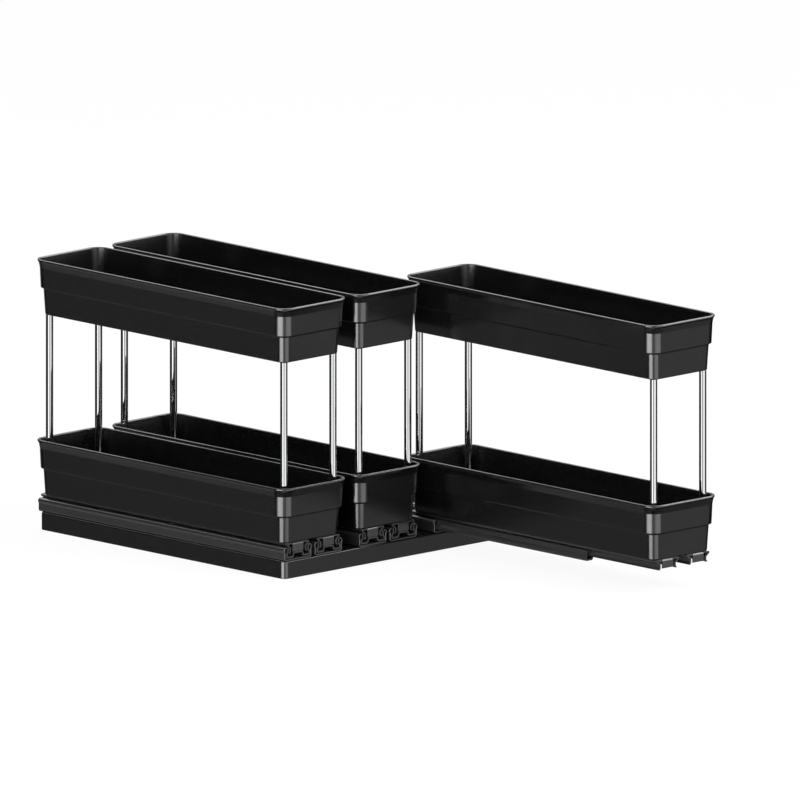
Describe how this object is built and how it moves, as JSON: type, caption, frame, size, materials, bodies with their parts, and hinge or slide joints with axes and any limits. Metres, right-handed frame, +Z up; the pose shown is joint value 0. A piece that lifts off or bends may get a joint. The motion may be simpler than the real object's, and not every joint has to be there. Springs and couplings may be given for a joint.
{
  "type": "pull out cabinet basket",
  "caption": "Pull-out rack of narrow two-tier baskets on posts, side by side, each column sliding on paired ball-bearing slides fixed to a flat base.",
  "frame": {"origin": "centre of the base at the surface that the rack stands on, on the underside of the middle adhesive pad", "axes": "+Z up; the columns pull out towards -Y; +X runs across the three columns from the left one to the right one, seen from the front"},
  "size_m": [0.2242, 0.5068, 0.206],
  "materials": {
    "basket_plastic": "satin moulded plastic, fine grain",
    "base_plastic": "satin moulded plastic",
    "slide_black": "black coated steel strip, satin",
    "post_chrome": "polished",
    "screw_steel": "zinc plated",
    "cage_steel": "bright strip",
    "ball_steel": "polished",
    "pad_rubber": "soft foam adhesive"
  },
  "bodies": {
    "base": {"base_tray": "base_plastic", "adhesive_pads": "pad_rubber", "slide_screws": "screw_steel", "left_outer_member_left": "slide_black", "left_outer_member_right": "slide_black", "middle_outer_member_left": "slide_black", "middle_outer_member_right": "slide_black", "right_outer_member_left": "slide_black", "right_outer_member_right": "slide_black"},
    "left_column": {"left_lower_basket": "basket_plastic", "left_upper_basket": "basket_plastic", "left_post_front_left": "post_chrome", "left_post_front_right": "post_chrome", "left_post_rear_left": "post_chrome", "left_post_rear_right": "post_chrome", "left_post_screws": "screw_steel", "left_basket_screws": "screw_steel", "left_inner_member_left": "slide_black", "left_inner_member_right": "slide_black"},
    "left_extension": {"left_middle_member_left": "slide_black", "left_middle_member_right": "slide_black"},
    "left_outer_ball_cages": {"left_outer_cages": "cage_steel", "left_outer_balls": "ball_steel"},
    "left_inner_ball_cages": {"left_inner_cages": "cage_steel", "left_inner_balls": "ball_steel"},
    "middle_column": {"middle_lower_basket": "basket_plastic", "middle_upper_basket": "basket_plastic", "middle_post_front_left": "post_chrome", "middle_post_front_right": "post_chrome", "middle_post_rear_left": "post_chrome", "middle_post_rear_right": "post_chrome", "middle_post_screws": "screw_steel", "middle_basket_screws": "screw_steel", "middle_inner_member_left": "slide_black", "middle_inner_member_right": "slide_black"},
    "middle_extension": {"middle_middle_member_left": "slide_black", "middle_middle_member_right": "slide_black"},
    "middle_outer_ball_cages": {"middle_outer_cages": "cage_steel", "middle_outer_balls": "ball_steel"},
    "middle_inner_ball_cages": {"middle_inner_cages": "cage_steel", "middle_inner_balls": "ball_steel"},
    "right_column": {"right_lower_basket": "basket_plastic", "right_upper_basket": "basket_plastic", "right_post_front_left": "post_chrome", "right_post_front_right": "post_chrome", "right_post_rear_left": "post_chrome", "right_post_rear_right": "post_chrome", "right_post_screws": "screw_steel", "right_basket_screws": "screw_steel", "right_inner_member_left": "slide_black", "right_inner_member_right": "slide_black"},
    "right_extension": {"right_middle_member_left": "slide_black", "right_middle_member_right": "slide_black"},
    "right_outer_ball_cages": {"right_outer_cages": "cage_steel", "right_outer_balls": "ball_steel"},
    "right_inner_ball_cages": {"right_inner_cages": "cage_steel", "right_inner_balls": "ball_steel"}
  },
  "joints": [
    {"name": "left_pull", "type": "slide", "parent": "base", "child": "left_column", "axis": [0, -1, 0], "range_m": [0, 0.236]},
    {"name": "left_extend", "type": "slide", "parent": "base", "child": "left_extension", "axis": [0, -1, 0], "range_m": [0, 0.1605]},
    {"name": "left_outer_balls_roll", "type": "slide", "parent": "base", "child": "left_outer_ball_cages", "axis": [0, -1, 0], "range_m": [0, 0.0803]},
    {"name": "left_inner_balls_roll", "type": "slide", "parent": "base", "child": "left_inner_ball_cages", "axis": [0, -1, 0], "range_m": [0, 0.1983]},
    {"name": "middle_pull", "type": "slide", "parent": "base", "child": "middle_column", "axis": [0, -1, 0], "range_m": [0, 0.236]},
    {"name": "middle_extend", "type": "slide", "parent": "base", "child": "middle_extension", "axis": [0, -1, 0], "range_m": [0, 0.1605]},
    {"name": "middle_outer_balls_roll", "type": "slide", "parent": "base", "child": "middle_outer_ball_cages", "axis": [0, -1, 0], "range_m": [0, 0.0803]},
    {"name": "middle_inner_balls_roll", "type": "slide", "parent": "base", "child": "middle_inner_ball_cages", "axis": [0, -1, 0], "range_m": [0, 0.1983]},
    {"name": "right_pull", "type": "slide", "parent": "base", "child": "right_column", "axis": [0, -1, 0], "range_m": [-0.236, 0]},
    {"name": "right_extend", "type": "slide", "parent": "base", "child": "right_extension", "axis": [0, -1, 0], "range_m": [-0.1605, 0]},
    {"name": "right_outer_balls_roll", "type": "slide", "parent": "base", "child": "right_outer_ball_cages", "axis": [0, -1, 0], "range_m": [-0.0803, 0]},
    {"name": "right_inner_balls_roll", "type": "slide", "parent": "base", "child": "right_inner_ball_cages", "axis": [0, -1, 0], "range_m": [-0.1983, 0]}
  ],
  "couplings": [
    {"joint": "left_extend", "follows": "left_pull", "ratio": 0.68},
    {"joint": "left_outer_balls_roll", "follows": "left_pull", "ratio": 0.34},
    {"joint": "left_inner_balls_roll", "follows": "left_pull", "ratio": 0.84},
    {"joint": "middle_extend", "follows": "middle_pull", "ratio": 0.68},
    {"joint": "middle_outer_balls_roll", "follows": "middle_pull", "ratio": 0.34},
    {"joint": "middle_inner_balls_roll", "follows": "middle_pull", "ratio": 0.84},
    {"joint": "right_extend", "follows": "right_pull", "ratio": 0.68},
    {"joint": "right_outer_balls_roll", "follows": "right_pull", "ratio": 0.34},
    {"joint": "right_inner_balls_roll", "follows": "right_pull", "ratio": 0.84}
  ]
}
